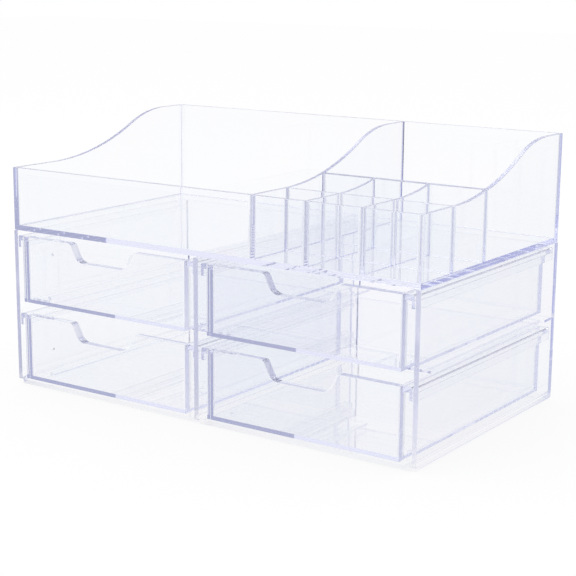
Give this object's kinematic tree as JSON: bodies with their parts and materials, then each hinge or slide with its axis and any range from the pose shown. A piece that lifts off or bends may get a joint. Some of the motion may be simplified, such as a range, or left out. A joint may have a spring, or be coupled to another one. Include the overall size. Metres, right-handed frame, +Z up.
{
  "type": "makeup organizer box",
  "caption": "Clear tabletop makeup organizer: open tray with swept side walls and lipstick cells, on a cabinet of shallow drawers with finger notches.",
  "frame": {"origin": "centre of the cabinet's flat underside", "axes": "+Z up, -Y out of the open front with the drawers, +X to the right seen from the front"},
  "size_m": [0.24, 0.1396, 0.1359],
  "materials": {
    "cabinet_base_plastic": "crystal clear polished polystyrene with a faint lavender tint",
    "cabinet_side_left_plastic": "crystal clear polished polystyrene with a faint lavender tint",
    "cabinet_side_right_plastic": "crystal clear polished polystyrene with a faint lavender tint",
    "cabinet_back_plastic": "crystal clear polished polystyrene with a faint lavender tint",
    "cabinet_partition_plastic": "crystal clear polished polystyrene with a faint lavender tint",
    "ledge_left_side_plastic": "crystal clear polished polystyrene with a faint lavender tint",
    "ledge_left_partition_plastic": "crystal clear polished polystyrene with a faint lavender tint",
    "ledge_right_partition_plastic": "crystal clear polished polystyrene with a faint lavender tint",
    "ledge_right_side_plastic": "crystal clear polished polystyrene with a faint lavender tint",
    "tray_shell_plastic": "crystal clear polished polystyrene with a faint lavender tint",
    "tray_divider_plastic": "crystal clear polished polystyrene with a faint lavender tint",
    "cross_wall_front_plastic": "crystal clear polished polystyrene with a faint lavender tint",
    "cross_wall_rear_plastic": "crystal clear polished polystyrene with a faint lavender tint",
    "separator_front_1_plastic": "crystal clear polished polystyrene with a faint lavender tint",
    "separator_front_2_plastic": "crystal clear polished polystyrene with a faint lavender tint",
    "separator_rear_1_plastic": "crystal clear polished polystyrene with a faint lavender tint",
    "separator_rear_2_plastic": "crystal clear polished polystyrene with a faint lavender tint",
    "drawer_upper_left_tub_plastic": "crystal clear polished polystyrene with a faint lavender tint",
    "drawer_upper_left_front_plastic": "crystal clear polished polystyrene with a faint lavender tint",
    "drawer_upper_right_tub_plastic": "crystal clear polished polystyrene with a faint lavender tint",
    "drawer_upper_right_front_plastic": "crystal clear polished polystyrene with a faint lavender tint",
    "drawer_lower_left_tub_plastic": "crystal clear polished polystyrene with a faint lavender tint",
    "drawer_lower_left_front_plastic": "crystal clear polished polystyrene with a faint lavender tint",
    "drawer_lower_right_tub_plastic": "crystal clear polished polystyrene with a faint lavender tint",
    "drawer_lower_right_front_plastic": "crystal clear polished polystyrene with a faint lavender tint"
  },
  "bodies": {
    "cabinet": {"cabinet_base": "cabinet_base_plastic", "cabinet_side_left": "cabinet_side_left_plastic", "cabinet_side_right": "cabinet_side_right_plastic", "cabinet_back": "cabinet_back_plastic", "cabinet_partition": "cabinet_partition_plastic", "ledge_left_side": "ledge_left_side_plastic", "ledge_left_partition": "ledge_left_partition_plastic", "ledge_right_partition": "ledge_right_partition_plastic", "ledge_right_side": "ledge_right_side_plastic"},
    "tray": {"tray_shell": "tray_shell_plastic", "tray_divider": "tray_divider_plastic", "cross_wall_front": "cross_wall_front_plastic", "cross_wall_rear": "cross_wall_rear_plastic", "separator_front_1": "separator_front_1_plastic", "separator_front_2": "separator_front_2_plastic", "separator_rear_1": "separator_rear_1_plastic", "separator_rear_2": "separator_rear_2_plastic"},
    "drawer_upper_left": {"drawer_upper_left_tub": "drawer_upper_left_tub_plastic", "drawer_upper_left_front": "drawer_upper_left_front_plastic"},
    "drawer_upper_right": {"drawer_upper_right_tub": "drawer_upper_right_tub_plastic", "drawer_upper_right_front": "drawer_upper_right_front_plastic"},
    "drawer_lower_left": {"drawer_lower_left_tub": "drawer_lower_left_tub_plastic", "drawer_lower_left_front": "drawer_lower_left_front_plastic"},
    "drawer_lower_right": {"drawer_lower_right_tub": "drawer_lower_right_tub_plastic", "drawer_lower_right_front": "drawer_lower_right_front_plastic"}
  },
  "joints": [
    {"name": "drawer_upper_left_slide", "type": "slide", "parent": "cabinet", "child": "drawer_upper_left", "axis": [0, -1, 0], "range_m": [0, 0.1]},
    {"name": "drawer_upper_right_slide", "type": "slide", "parent": "cabinet", "child": "drawer_upper_right", "axis": [0, -1, 0], "range_m": [0, 0.1]},
    {"name": "drawer_lower_left_slide", "type": "slide", "parent": "cabinet", "child": "drawer_lower_left", "axis": [0, -1, 0], "range_m": [0, 0.1]},
    {"name": "drawer_lower_right_slide", "type": "slide", "parent": "cabinet", "child": "drawer_lower_right", "axis": [0, -1, 0], "range_m": [0, 0.1]},
    {"name": "tray_lift", "type": "slide", "parent": "cabinet", "child": "tray", "axis": [0, 0, 1], "range_m": [0, 0.05]}
  ]
}
